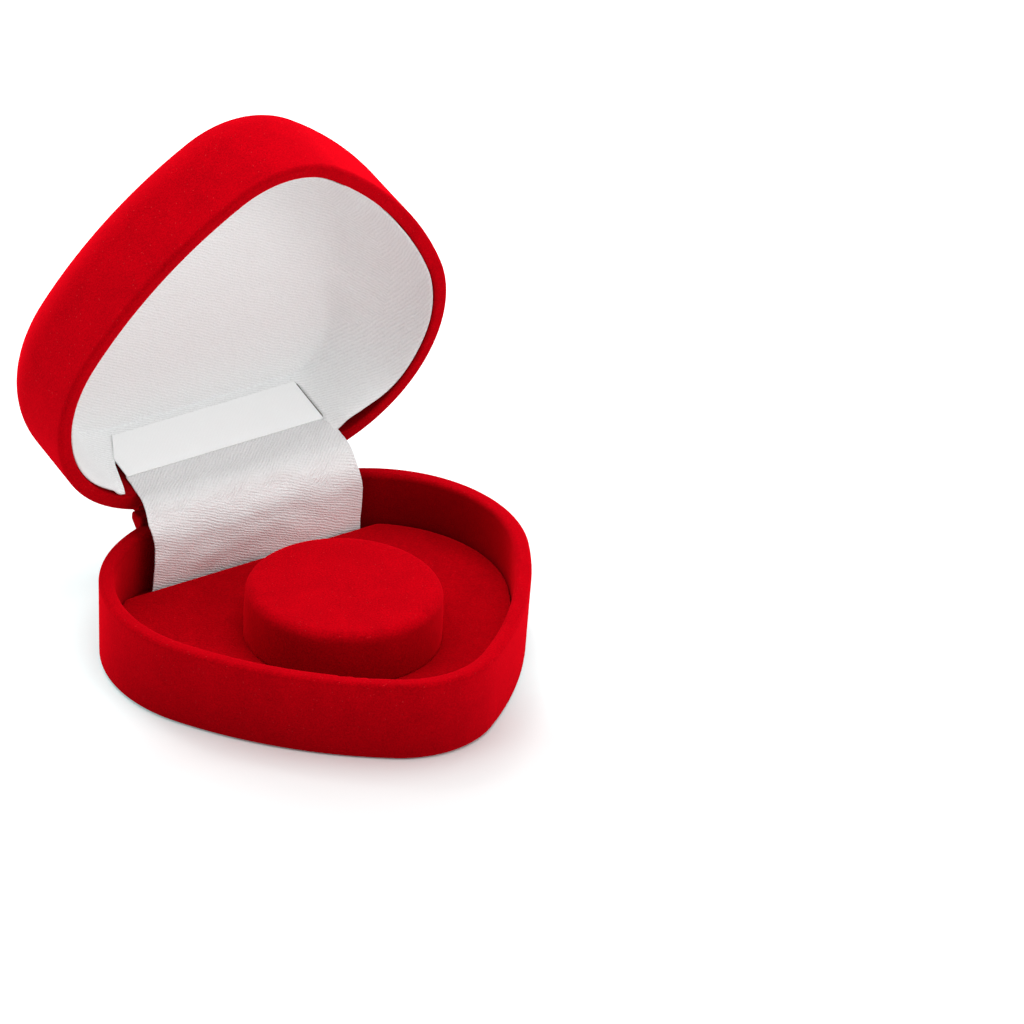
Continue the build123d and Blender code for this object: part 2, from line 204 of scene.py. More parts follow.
class ClothSettings(bpy.types.PropertyGroup):
    """Sizes of the satin and velvet pieces."""

    strip_width: bpy.props.FloatProperty(
        name="Strip width", description="Width of the satin strip over the hinge",
        default=0.053, min=0.02, max=0.06, unit="LENGTH",
    )
    strip_drape: bpy.props.FloatProperty(
        name="Strip drape", description="Radius in which the strip bends down into the base",
        default=0.0115, min=0.006, max=0.012, unit="LENGTH",
    )
    strip_ripple: bpy.props.FloatProperty(
        name="Strip ripple", description="Height of the soft ripples across the strip",
        default=0.00028, min=0.0, max=0.001, unit="LENGTH",
    )
    satin_thickness: bpy.props.FloatProperty(
        name="Satin thickness", description="Thickness of the satin on the lining and the strip",
        default=0.0003, min=0.0001, max=0.001, unit="LENGTH",
    )
    lining_looseness: bpy.props.FloatProperty(
        name="Lining looseness", description="How far the lining's edge stands off by the hinge",
        default=0.0021, min=0.0, max=0.004, unit="LENGTH",
    )
    velvet_thickness: bpy.props.FloatProperty(
        name="Velvet thickness", description="Thickness of the velvet on the platform and the pad",
        default=0.0007, min=0.0003, max=0.001, unit="LENGTH",
    )
    pad_edge: bpy.props.FloatProperty(
        name="Pad edge", description="Radius of the pad's soft top edge",
        default=0.0024, min=0.0005, max=0.005, unit="LENGTH",
    )
    spring_thickness: bpy.props.FloatProperty(
        name="Spring thickness", description="Thickness of the bowed spring leaf",
        default=0.0004, min=0.0002, max=0.001, unit="LENGTH",
    )


class ColourSettings(bpy.types.PropertyGroup):
    """Colours of the finishes."""

    flock_deep: bpy.props.FloatVectorProperty(
        name="Flock, deep", description="Flock seen down into its pile",
        default=(0.19, 0.0, 0.002), **COLOUR,
    )
    flock_tip: bpy.props.FloatVectorProperty(
        name="Flock, tips", description="Flock where its fibre ends catch the light",
        default=(0.50, 0.0, 0.004), **COLOUR,
    )
    # Painted shade: the dark colour that the flock and velvet are blended towards in corners and
    # hollows, where shade falls
    flock_painted_shade: bpy.props.FloatVectorProperty(
        name="Flock, painted shade", description="Flock deep in corners and hollows",
        default=(0.03, 0.0, 0.0005), **COLOUR,
    )
    flock_speck: bpy.props.FloatVectorProperty(
        name="Flock, specks", description="Single fibres that lie across the pile and look pale",
        default=(0.86, 0.10, 0.09), **COLOUR,
    )
    satin_shade: bpy.props.FloatVectorProperty(
        name="Satin, shade", description="Satin between its threads",
        default=(0.74, 0.74, 0.745), **COLOUR,
    )
    satin_light: bpy.props.FloatVectorProperty(
        name="Satin, light", description="Satin on top of its threads",
        default=(0.945, 0.966, 0.964), **COLOUR,
    )
    # Painted shade: grey that the strip is painted just below its fold, where shade falls
    satin_fold_shade: bpy.props.FloatVectorProperty(
        name="Satin, fold shade", description="Satin of the strip just below its fold, painted grey as shade",
        default=(0.79, 0.795, 0.795), **COLOUR,
    )
    satin_strip: bpy.props.FloatVectorProperty(
        name="Satin, strip", description="Satin of the strip where it hangs into the base",
        default=(0.975, 0.99, 0.988), **COLOUR,
    )
    card: bpy.props.FloatVectorProperty(
        name="Card", description="Grey card of the lining, the platform and the pad's core",
        default=(0.36, 0.34, 0.31), **COLOUR,
    )
    steel: bpy.props.FloatVectorProperty(
        name="Steel", description="Pin and spring leaf",
        default=(0.58, 0.57, 0.55), **COLOUR,
    )
    floor: bpy.props.FloatVectorProperty(
        name="Floor", description="Pale floor that the box stands on",
        default=(0.76, 0.76, 0.76), **COLOUR,
    )


class StageSettings(bpy.types.PropertyGroup):
    """Camera and lamps."""

    lens: bpy.props.FloatProperty(
        name="Lens", description="Focal length of the camera", default=588.256, min=20.0, max=900.0,
        subtype="DISTANCE_CAMERA",
    )
    roll: bpy.props.FloatProperty(
        name="Roll", description="Turn of the camera about its line of sight",
        default=math.radians(2.6352), subtype="ANGLE",
    )
    camera_place: bpy.props.FloatVectorProperty(
        name="Camera", description="Place of the camera",
        default=(-1.785393, -2.611634, 1.898142), size=3, subtype="TRANSLATION", unit="LENGTH",
    )
    camera_aim: bpy.props.FloatVectorProperty(
        name="Aim", description="Point on the floor that the camera looks at",
        default=(0.068973, 0.033699, 0.0), size=3, subtype="TRANSLATION", unit="LENGTH",
    )
    top_power: bpy.props.FloatProperty(
        name="Top lamp", description="Power of the wide lamp overhead",
        default=16.0, min=0.0, unit="POWER",
    )
    back_power: bpy.props.FloatProperty(
        name="Back lamp", description="Power of the soft lamp behind the box",
        default=17.4, min=0.0, unit="POWER",
    )
    front_power: bpy.props.FloatProperty(
        name="Front lamp", description="Power of the soft lamp at the front",
        default=8.8, min=0.0, unit="POWER",
    )
    surround: bpy.props.FloatProperty(
        name="Surround", description="Strength of the even light from all round",
        default=0.6, min=0.0, max=2.0,
    )
    # Painted light: how strongly the floor glows beside and behind the box, lifting the box's shadow
    # there
    backdrop_fill: bpy.props.FloatProperty(
        name="Backdrop fill", description="White that the floor shows by itself round the box",
        default=0.35, min=0.0, max=1.0, subtype="FACTOR",
    )


# Outline and mesh helpers


def tangent_points():
    """Centre of the side arc, and the angles at which it meets the tip and the shoulder."""
    to_tip = SIDE_RADIUS - TIP_RADIUS
    to_shoulder = SIDE_RADIUS - SHOULDER_RADIUS
    apart = math.hypot(SHOULDER_X, SHOULDER_Y - TIP_Y)
    along = (to_tip**2 - to_shoulder**2 + apart**2) / (2 * apart)
    across = math.sqrt(to_tip**2 - along**2)
    unit_x = SHOULDER_X / apart
    unit_y = (SHOULDER_Y - TIP_Y) / apart
    centre = (along * unit_x - across * unit_y, TIP_Y + along * unit_y + across * unit_x)
    tip_angle = math.degrees(math.atan2(TIP_Y - centre[1], -centre[0]))
    shoulder_angle = math.degrees(math.atan2(SHOULDER_Y - centre[1], SHOULDER_X - centre[0]))
    return centre, tip_angle, shoulder_angle


SIDE_CENTRE, TIP_ANGLE, SHOULDER_ANGLE = tangent_points()
BACK_CENTRE = (
    SHOULDER_X - (BACK_RADIUS - SHOULDER_RADIUS) * math.cos(math.radians(BACK_ANGLE)),
    SHOULDER_Y - (BACK_RADIUS - SHOULDER_RADIUS) * math.sin(math.radians(BACK_ANGLE)),
)


def arc(centre, radius, start, end, count):
    """Points of an arc from start to end, in degrees, without the last one."""
    angles = [math.radians(start + (end - start) * step / count) for step in range(count)]
    return [(centre[0] + radius * math.cos(a), centre[1] + radius * math.sin(a)) for a in angles]


def heart_loop(inset, end_y, corner, marks=(20.0, 10.0)):
    """Closed heart drawn in by inset, cut straight at end_y with round corners, as (x, y)."""
    cut_y = end_y - corner
    reach = BACK_RADIUS - inset - corner
    lift = cut_y - BACK_CENTRE[1]
    angle = math.degrees(math.asin(lift / reach))
    if angle >= BACK_ANGLE:
        middle = (BACK_CENTRE[0] + reach * math.cos(math.radians(angle)), cut_y)
        back = arc(BACK_CENTRE, BACK_RADIUS - inset, BACK_ANGLE, angle, 6)
        last = BACK_ANGLE
    else:
        reach = SHOULDER_RADIUS - inset - corner
        angle = math.degrees(math.asin((cut_y - SHOULDER_Y) / reach))
        middle = (SHOULDER_X + reach * math.cos(math.radians(angle)), cut_y)
        back = []
        last = angle
    half = arc((0, TIP_Y), TIP_RADIUS - inset, -90, TIP_ANGLE, 12)
    half += arc(SIDE_CENTRE, SIDE_RADIUS - inset, TIP_ANGLE, SHOULDER_ANGLE, 40)
    half += arc((SHOULDER_X, SHOULDER_Y), SHOULDER_RADIUS - inset, SHOULDER_ANGLE, last, 44)
    half += back
    stops = [math.degrees(math.acos((x - middle[0]) / corner)) for x in marks if x > middle[0]]
    stops = [angle, *stops, 90.0]
    for first, second in zip(stops, stops[1:]):
        half += arc(middle, corner, first, second, 4)
    xs = [middle[0], *[x for x in marks if x <= middle[0]], 0.0]
    for first, second in zip(xs, xs[1:]):
        count = max(1, round((first - second) / 1.2))
        half += [(first + (second - first) * step / count, end_y) for step in range(count)]
    mirrored = [(-x, y) for x, y in reversed(half[1:])]
    return half + [(0.0, end_y)] + mirrored


def clear_selection():
    """Leave edit mode and deselect everything, the frame's nodes among it."""
    if bpy.context.object is not None and bpy.context.object.mode != "OBJECT":
        bpy.ops.object.mode_set(mode="OBJECT")
    bpy.ops.object.select_all(action="DESELECT")


def take_up(obj):
    """Make one object the only selected and the active one."""
    clear_selection()
    obj.select_set(True)
    bpy.context.view_layer.objects.active = obj


def finish_modifier(obj, kind, **values):
    """Add a modifier with the given settings and apply it."""
    take_up(obj)
    modifier = obj.modifiers.new(kind.lower(), kind)
    for key, value in values.items():
        setattr(modifier, key, value)
    bpy.ops.object.modifier_apply(modifier=modifier.name)


def named(obj, name):
    """Give an object and its mesh their name."""
    obj.name = name
    obj.data.name = name
    return obj


def fade(value, start, end):
    """Share of the way from start to end, held between 0 and 1."""
    return min(max((value - start) / (end - start), 0.0), 1.0)


def bell(value, middle, reach):
    """Smooth bump of height 1 about its middle."""
    return math.exp(-(((value - middle) / reach) ** 2))


def extrude_rows(obj, rows, first):
    """Extrude the selected edges once for each row from first on, and set the new vertices on it."""
    for number in range(first, len(rows)):
        bpy.ops.mesh.extrude_edges_move()
        mesh = bmesh.from_edit_mesh(obj.data)
        seat = mesh.verts.layers.int["seat"]
        row = mesh.verts.layers.int["row"]
        for vertex in mesh.verts:
            if vertex.select:
                vertex[row] = number
                vertex.co = Vector(rows[number][vertex[seat]]) * MM
        bmesh.update_edit_mesh(obj.data)


def number_vertices(obj, rows, wide):
    """Number the vertices of a fresh primitive by seat and row, and set them on the first rows."""
    mesh = bmesh.from_edit_mesh(obj.data)
    for key in ("seat", "row"):
        mesh.verts.layers.int.new(key)
    seat = mesh.verts.layers.int["seat"]
    row = mesh.verts.layers.int["row"]
    mesh.verts.ensure_lookup_table()
    for index, vertex in enumerate(mesh.verts):
        vertex[seat], vertex[row] = index % wide, index // wide
        vertex.co = Vector(rows[vertex[row]][vertex[seat]]) * MM
    bmesh.update_edit_mesh(obj.data)


def pull(name, rows):
    """Lay a grid one face deep on the first two rows, then extrude its far edge from row to row."""
    wide = len(rows[0])
    clear_selection()
    bpy.ops.mesh.primitive_grid_add(x_subdivisions=wide - 1, y_subdivisions=1, size=wide * MM)
    obj = named(bpy.context.object, name)
    bpy.ops.object.mode_set(mode="EDIT")
    bpy.ops.mesh.select_all(action="DESELECT")
    number_vertices(obj, rows, wide)
    mesh = bmesh.from_edit_mesh(obj.data)
    row = mesh.verts.layers.int["row"]
    for edge in mesh.edges:
        if all(vertex[row] == 1 for vertex in edge.verts):
            edge.select_set(True)
    bmesh.update_edit_mesh(obj.data)
    extrude_rows(obj, rows, 2)
    bpy.ops.mesh.select_all(action="SELECT")
    bpy.ops.mesh.normals_make_consistent(inside=False)
    bpy.ops.object.mode_set(mode="OBJECT")
    return obj


def loft(name, rings):
    """Pull a circle to the first ring, then extrude it from ring to ring, and close the last one."""
    clear_selection()
    bpy.ops.mesh.primitive_circle_add(vertices=len(rings[0]), radius=PUCK_RADIUS * MM)
    obj = named(bpy.context.object, name)
    bpy.ops.object.mode_set(mode="EDIT")
    bpy.ops.mesh.select_all(action="SELECT")
    number_vertices(obj, rings, len(rings[0]))
    extrude_rows(obj, rings, 1)
    bpy.ops.mesh.edge_face_add()
    bpy.ops.mesh.poke()
    bpy.ops.mesh.select_all(action="SELECT")
    bpy.ops.mesh.normals_make_consistent(inside=False)
    bpy.ops.object.mode_set(mode="OBJECT")
    bpy.ops.object.shade_smooth()
    return obj


def rounded(radius, count):
    """Steps in and down of a rounded edge, from its side to its top."""
    angles = [math.radians(90 * step / count) for step in range(count + 1)]
    return [(radius * (1 - math.cos(a)), radius * (1 - math.sin(a))) for a in angles]


def closing_rings(top, middle_y, count, lift):
    """Rings that draw a ring together to its middle, each raised by lift(x, y, share of the way)."""
    rings = []
    for gone in (step / count for step in range(1, count)):
        share = 1 - gone
        row = [(x * share, middle_y + (y - middle_y) * share, z) for x, y, z in top]
        rings.append([(x, y, z + lift(x, y, gone)) for x, y, z in row])
    return rings


def ripple(point, scale, seed):
    """Smooth noise from -1 to 1 at a point in millimetres."""
    return noise.noise(Vector(point) * scale + Vector((seed, seed * 0.7, seed * 1.3)))


def write_uv(obj, place):
    """Give every face corner the UV that place(vertex, face) returns, in millimetres."""
    mesh = bmesh.new()
    mesh.from_mesh(obj.data)
    layer = mesh.loops.layers.uv.new("cut")
    for face in mesh.faces:
        for corner in face.loops:
            corner[layer].uv = place(corner.vert, face)
    mesh.to_mesh(obj.data)
    mesh.free()


def drop_layers(obj):
    """Remove the working layers that the extruding leaves in a mesh."""
    for key in ("seat", "row"):
        layer = obj.data.attributes.get(key)
        if layer is not None:
            obj.data.attributes.remove(layer)


def dress(obj, material):
    """Make a material the only one of an object."""
    obj.data.materials.clear()
    obj.data.materials.append(material)


def smooth_below(obj, degrees):
    """Shade a piece smooth, with its edges sharper than an angle left crisp."""
    take_up(obj)
    bpy.ops.object.shade_smooth_by_angle(angle=math.radians(degrees))


def surface_area(obj):
    """Area of a mesh in square metres."""
    return sum(face.area for face in obj.data.polygons)


# Finishes


def new_group(name, numbers, outputs):
    """Empty shader node group that takes a vector and named numbers, and puts out numbers."""
    group = bpy.data.node_groups.new(name, "ShaderNodeTree")
    group.interface.new_socket(name="Vector", in_out="INPUT", socket_type="NodeSocketVector")
    for key, value in numbers.items():
        socket = group.interface.new_socket(name=key, in_out="INPUT", socket_type="NodeSocketFloat")
        socket.default_value = value
    for key in outputs:
        group.interface.new_socket(name=key, in_out="OUTPUT", socket_type="NodeSocketFloat")
    return group, group.nodes.new("NodeGroupInput").outputs, group.nodes.new("NodeGroupOutput")


def fill(tree, target, values):
    """Link or set the inputs of a node, by name or index."""
    for key, value in values.items():
        if isinstance(value, bpy.types.NodeSocket):
            tree.links.new(value, target.inputs[key])
        else:
            target.inputs[key].default_value = value
    return target


def node(tree, kind, inputs=None, **values):
    """New node with its properties set and its inputs filled."""
    made = tree.nodes.new(kind)
    for key, value in values.items():
        setattr(made, key, value)
    return fill(tree, made, inputs or {})


def maths(tree, operation, first, second=0.0, third=0.0):
    """Result of a maths node."""
    return node(tree, "ShaderNodeMath", {0: first, 1: second, 2: third}, operation=operation).outputs[0]


def cloudy(tree, where, scale, detail=2.0, distortion=0.0):
    """Soft noise from 0 to 1 at a scale."""
    inputs = {"Vector": where, "Scale": scale, "Detail": detail, "Distortion": distortion}
    return node(tree, "ShaderNodeTexNoise", inputs).outputs[0]


def held(tree, value):
    """Value held between 0 and 1 by a node."""
    return node(tree, "ShaderNodeClamp", {0: value}).outputs[0]


def ramp(tree, value, start, end, top=1.0):
    """Smooth step from 0 at start to top at end."""
    inputs = {"Value": value, "From Min": start, "From Max": end, "To Max": top}
    return node(tree, "ShaderNodeMapRange", inputs, interpolation_type="SMOOTHSTEP").outputs[0]


def split(tree, vector):
    """The parts of a vector."""
    return node(tree, "ShaderNodeSeparateXYZ", {0: vector}).outputs


def bumped(tree, height, strength, distance, **normal):
    """Normal of a surface with fine relief."""
    inputs = {"Height": height, "Strength": strength, "Distance": distance, **normal}
    return node(tree, "ShaderNodeBump", inputs).outputs["Normal"]


def object_place(tree):
    """Place on the object itself, in metres."""
    return node(tree, "ShaderNodeTexCoord").outputs["Object"]


def seen_rays(tree):
    """Mask of the rays that show a surface: from the camera, or by way of gloss or glass."""
    rays = node(tree, "ShaderNodeLightPath").outputs
    seen = maths(tree, "MAXIMUM", rays["Is Camera Ray"], rays["Is Glossy Ray"])
    return maths(tree, "MAXIMUM", seen, rays["Is Transmission Ray"])


def blend_colour(tree, factor, first, second, kind="MIX"):
    """Mix of two colours, each a socket or three channels."""
    made = node(tree, "ShaderNodeMix", {"Factor": factor}, data_type="RGBA", blend_type=kind)
    for key, value in ((6, first), (7, second)):
        fill(tree, made, {key: value if isinstance(value, bpy.types.NodeSocket) else (*value, 1.0)})
    return made.outputs[2]


def pile_group():
    """Short pile: fine grain, drifting nap, single pale fibres and the height of the fibre ends."""
    group, given, put = new_group(
        "Short pile", {"Grain": 3800.0, "Nap": 150.0}, ("Tone", "Speck", "Height"),
    )
    where = given["Vector"]
    grain = cloudy(group, where, given["Grain"])
    nap = cloudy(group, where, given["Nap"], 3.0, 0.6)
    cells = node(
        group, "ShaderNodeTexVoronoi", {"Vector": where, "Scale": 1700.0, "Randomness": 1.0},
    ).outputs
    near = maths(group, "LESS_THAN", cells["Distance"], 0.17)
    pick = node(group, "ShaderNodeSeparateColor", {0: cells["Color"]}).outputs[0]
    few = maths(group, "GREATER_THAN", pick, 0.9)
    tone = maths(group, "MULTIPLY_ADD", grain, 1.5, -0.45)
    tone = maths(group, "MULTIPLY_ADD", nap, 0.6, maths(group, "SUBTRACT", tone, 0.1))
    fill(group, put, {
        "Tone": held(group, tone),
        "Speck": maths(group, "MULTIPLY", near, few),
        "Height": maths(group, "MULTIPLY_ADD", nap, 0.6, grain),
    })
    return group


def thread_lines(group, x, y, slant, pitch, push):
    """Threads at a slant to the cut, each broken up along its length, from about -1 to 1."""
    sine, cosine = maths(group, "SINE", slant), maths(group, "COSINE", slant)
    across = maths(group, "MULTIPLY", y, cosine)
    across = maths(group, "SUBTRACT", across, maths(group, "MULTIPLY", x, sine))
    across = maths(group, "DIVIDE", maths(group, "ADD", across, push), pitch)
    along = maths(group, "MULTIPLY_ADD", x, cosine, maths(group, "MULTIPLY", y, sine))
    wave = maths(group, "SINE", maths(group, "MULTIPLY", across, 2 * math.pi))
    stretch = maths(group, "MULTIPLY", along, 1.2)
    streak = node(group, "ShaderNodeCombineXYZ", {0: stretch, 1: across}).outputs[0]
    crinkle = cloudy(group, streak, 1.9, 1.0)
    loud = maths(group, "MULTIPLY_ADD", cloudy(group, streak, 1.0), 3.2, -0.9)
    lines = maths(group, "MULTIPLY", maths(group, "MULTIPLY", wave, loud), 0.75)
    return maths(group, "MULTIPLY_ADD", maths(group, "SUBTRACT", crinkle, 0.5), 2.6, lines)


def satin_group():
    """Satin: fine slanting threads that change their slant along the cut, and soft bands of gloss."""
    group, given, put = new_group(
        "Satin threads",
        {"Pitch": 0.6, "First slant": 0.4, "Second slant": 0.4, "Change": 0.0, "Waver": 0.5},
        ("Thread", "Band", "Height"),
    )
    where = given["Vector"]
    drift = cloudy(group, where, 0.13)
    bend = maths(group, "SUBTRACT", drift, 0.5)
    fine = maths(group, "SUBTRACT", cloudy(group, where, 0.9), 0.5)
    push = maths(group, "MULTIPLY", maths(group, "MULTIPLY_ADD", bend, 5.0, fine), given["Waver"])
    x, y, _ = split(group, where)
    first, second = (
        thread_lines(group, x, y, given[slant], given["Pitch"], push)
        for slant in ("First slant", "Second slant")
    )
    past = maths(group, "SUBTRACT", y, given["Change"])
    past = maths(group, "MULTIPLY_ADD", bend, 26.0, past)
    past = held(group, maths(group, "MULTIPLY_ADD", past, 0.14, 0.5))
    turned = maths(group, "MULTIPLY_ADD", maths(group, "SUBTRACT", second, first), past, first)
    thread = held(group, maths(group, "MULTIPLY_ADD", turned, 0.5, 0.5))
    height = maths(group, "MULTIPLY_ADD", drift, 1.5, thread)
    fill(group, put, {"Thread": thread, "Band": drift, "Height": height})
    return group


def new_material(name):
    """Empty node material with its Principled shader."""
    material = bpy.data.materials.new(name)
    material.use_nodes = True
    tree = material.node_tree
    shader = next(item for item in tree.nodes if item.type == "BSDF_PRINCIPLED")
    return material, tree, shader


def pile_material(name, colours, group, grain, level, shade_power, hollow=0.0):
    """Red flock or velvet with soft fibre ends, with painted shade that darkens it towards a deep
    colour in corners and hollows.
    """
    material, tree, shader = new_material(name)
    inputs = {"Vector": object_place(tree), "Grain": grain}
    pile = node(tree, "ShaderNodeGroup", inputs, node_tree=group).outputs
    deep = tuple(channel * level for channel in colours.flock_deep)
    tips = tuple(channel * level for channel in colours.flock_tip)
    body = blend_colour(tree, pile["Tone"], deep, tips)
    speck = maths(tree, "MULTIPLY", pile["Speck"], 0.3)
    colour = blend_colour(tree, speck, body, colours.flock_speck)
    # Painted shade: ambient occlusion darkens the pile in corners and hollows by the first power, and
    # the piece's own hollows again by the second
    open_sky = node(tree, "ShaderNodeAmbientOcclusion", {"Distance": 0.03}, samples=8).outputs["AO"]
    painted_shade_factor = maths(tree, "POWER", open_sky, shade_power)
    if hollow:
        cavity = node(
            tree, "ShaderNodeAmbientOcclusion", {"Distance": 0.045}, samples=8, only_local=True,
        ).outputs["AO"]
        painted_shade_factor = maths(tree, "MULTIPLY", painted_shade_factor, maths(tree, "POWER", cavity, hollow))
    soft = node(tree, "ShaderNodeBevel", {"Radius": 0.0014}, samples=6).outputs["Normal"]
    fill(tree, shader, {
        "Base Color": blend_colour(tree, painted_shade_factor, colours.flock_painted_shade, colour),
        "Normal": bumped(tree, pile["Height"], 0.35, 0.0002, Normal=soft),
        "Roughness": 0.85,
        "Specular IOR Level": 0.0,
        "Sheen Weight": 1.0,
        "Sheen Roughness": 0.64,
        "Sheen Tint": (1.0, 0.004, 0.014, 1.0),
    })
    return material


def satin_material(name, colours, group, weave, contrast, gloss, quiet_to=None):
    """White satin with its threads along the piece's own cut, plain up to a length if one is given,
    with painted shade just below that length.
    """
    material, tree, shader = new_material(name)
    where = node(tree, "ShaderNodeUVMap", uv_map="cut").outputs["UV"]
    threads = node(tree, "ShaderNodeGroup", {"Vector": where, **weave}, node_tree=group).outputs
    depth = contrast
    light = tuple(colours.satin_light)
    if quiet_to is not None:
        length = split(tree, where)[1]
        past = maths(tree, "GREATER_THAN", length, quiet_to)
        depth = maths(tree, "MULTIPLY_ADD", past, contrast * 0.85, contrast * 0.15)
        # Painted shade: the strip is grey just below its fold, fading to its own colour from 6 to 15 mm
        # further down
        fold_shade_fade = ramp(tree, length, quiet_to + 6.0, quiet_to + 15.0)
        strip_with_fold_shade = blend_colour(tree, fold_shade_fade, colours.satin_fold_shade, colours.satin_strip)
        light = blend_colour(tree, past, light, strip_with_fold_shade)
    lost = maths(tree, "SUBTRACT", 1.0, threads["Thread"])
    shaded = maths(tree, "MULTIPLY", depth, lost)
    fill(tree, shader, {
        "Base Color": blend_colour(tree, shaded, light, colours.satin_shade, "MULTIPLY"),
        "Normal": bumped(tree, threads["Height"], depth, 0.0002),
        "Roughness": maths(tree, "MULTIPLY_ADD", threads["Band"], -0.25, gloss),
        "Specular IOR Level": 0.35,
        "Sheen Weight": 0.08,
        "Sheen Roughness": 0.4,
    })
    return material


def card_material(name, colour):
    """Grey card with flecks of fibre."""
    material, tree, shader = new_material(name)
    fleck = cloudy(tree, object_place(tree), 900.0, 4.0)
    dark = tuple(channel * 0.75 for channel in colour)
    fill(tree, shader, {
        "Base Color": blend_colour(tree, fleck, dark, colour),
        "Normal": bumped(tree, fleck, 0.2, 0.0001),
        "Roughness": 0.9,
    })
    return material


def steel_material(name, colour):
    """Drawn steel with fine lines along X."""
    material, tree, shader = new_material(name)
    inputs = {"Vector": object_place(tree), "Scale": (60.0, 4000.0, 4000.0)}
    drawn = node(tree, "ShaderNodeMapping", inputs).outputs[0]
    lines = cloudy(tree, drawn, 1.0, 3.0)
    dark = tuple(channel * 0.8 for channel in colour)
    fill(tree, shader, {
        "Base Color": blend_colour(tree, lines, dark, colour),
        "Roughness": maths(tree, "MULTIPLY_ADD", lines, 0.2, 0.22),
        "Metallic": 1.0,
    })
    return material


def finishes():
    """Make each material once, and return them by name."""
    if "Red flock" not in bpy.data.materials:
        colours = bpy.context.scene.heart_colours
        pile = pile_group()
        satin = satin_group()
        # The last two numbers set how strongly painted shade darkens corners and the shell's own
        # hollows
        pile_material("Red flock", colours, pile, grain=2700.0, level=0.97, shade_power=1.0, hollow=1.5)
        pile_material("Red velvet", colours, pile, grain=2500.0, level=1.1, shade_power=0.35)
        lining = {"Pitch": 0.68, "First slant": 0.5, "Second slant": 0.5, "Waver": 0.3}
        strip = {
            "Pitch": 0.64, "First slant": -0.72, "Second slant": 0.38, "Change": 25.0, "Waver": 0.35,
        }
        tab = TAB_TOP - STRIP_FOLD + 0.3
        satin_material("Lining satin", colours, satin, lining, contrast=0.55, gloss=0.75)
        satin_material("Strip satin", colours, satin, strip, contrast=0.65, gloss=0.6, quiet_to=tab)
        card_material("Grey card", tuple(colours.card))
        steel_material("Drawn steel", tuple(colours.steel))
    return bpy.data.materials


# Pieces


def between(table, place):
    """Row of a table at a place along its first column, with straight lines between the rows."""
    if place <= table[0][0]:
        return table[0][1:]
    for first, second in zip(table, table[1:]):
        if place <= second[0]:
            share = (place - first[0]) / (second[0] - first[0])
            return tuple(a + (b - a) * share for a, b in zip(first[1:], second[1:]))
    return table[-1][1:]


def swung(y, z):
    """Place of a point of the shut lid once the lid is open, as (y, z) in millimetres."""
    place = SWING @ Vector((0, y * MM, z * MM))
    return Vector((place.y, place.z)) / MM


def hold_off(x, y, z, amount):
    """How far the lining stands off the wall of the shut lid, most at its edge by the hinge."""
    right, left = (
        share * bell(x, middle_x, reach_x) * bell(y, middle_y, reach_y)
        for middle_x, middle_y, reach_x, reach_y, share in (LOOSE_RIGHT, LOOSE_LEFT)
    )
    right *= fade(x, LOOSE_START, LOOSE_FULL)
    low = max(0.0, 1.0 - (z - LINING_BOTTOM) / LOOSE_HEIGHT)
    tucked = 0.0
    if x > TUCK_FROM_X:
        tucked = TUCK_DEPTH * fade(x, TUCK_END_X, TUCK_FULL_X) * fade(z, TUCK_END_Z, TUCK_FULL_Z)
    return amount * (right + left) * low - tucked


def window_shift(x, y, z):
    """Sideways step that brings the loop's marked points onto the window's slanting edges."""
    if y < SHIFT_FROM_Y:
        return 0.0
    left, right = between(WINDOW_EDGES, z)
    if x < 0:
        step, mark, end = left + MARK_LEFT, MARK_LEFT, SHIFT_LEFT_TO
    else:
        step, mark, end = right - MARK_RIGHT, MARK_RIGHT, SHIFT_RIGHT_TO
    return step * min(fade(abs(x), SHIFT_FROM, mark), fade(abs(x), end, mark))


def lining_rings(behind, first_row, cloth):
    """Rings of one lining layer from its edge up the leaning wall and over the ceiling."""
    seed = 3.0
    marks = (MARK_RIGHT, MARK_LEFT, MARK_MIDDLE)
    inset = LINING_INSET - behind
    loop = heart_loop(inset, HINGE_WALL_Y + LID_WALL - inset, HINGE_CORNER, marks)
    inner = heart_loop(inset + 1.0, HINGE_WALL_Y + LID_WALL - inset - 1.0, HINGE_CORNER, marks)
    rings = []
    for step_in, height in LINING_WALL[first_row:]:
        row = []
        for (x, y), (ix, iy) in zip(loop, inner):
            lean = between(LINING_LEAN, y)[0] if step_in > 0 else 1.0
            aside = window_shift(x, y, height)
            off = step_in * lean + hold_off(x + aside, y, height, cloth.lining_looseness / MM)
            off += LINING_RIPPLE * ripple((x, y, height), 0.11, seed)
            px, py = x + (ix - x) * off, y + (iy - y) * off
            row.append((px + aside, py, height + behind))
        rings.append(row)
    return rings + closing_rings(
        rings[-1], CEILING_MIDDLE_Y, 22,
        lambda x, y, gone: CEILING_RIPPLE * ripple((x, y, 0), 0.07, seed) * gone,
    )


def cut_window(obj, keep_from):
    """Take the strip's window out of the back wall of a lining layer, shut."""
    take_up(obj)
    bpy.ops.object.mode_set(mode="EDIT")
    bpy.ops.mesh.select_all(action="DESELECT")
    mesh = bmesh.from_edit_mesh(obj.data)
    for face in mesh.faces:
        middle = face.calc_center_median() / MM
        left, right = between(WINDOW_EDGES, middle.z)
        inside = left < middle.x < min(right, keep_from) and middle.y > WINDOW_FROM_Y
        face.select = inside and middle.z < WINDOW_TOP
    bmesh.update_edit_mesh(obj.data)
    bpy.ops.mesh.delete(type="FACE")
    bpy.ops.object.mode_set(mode="OBJECT")


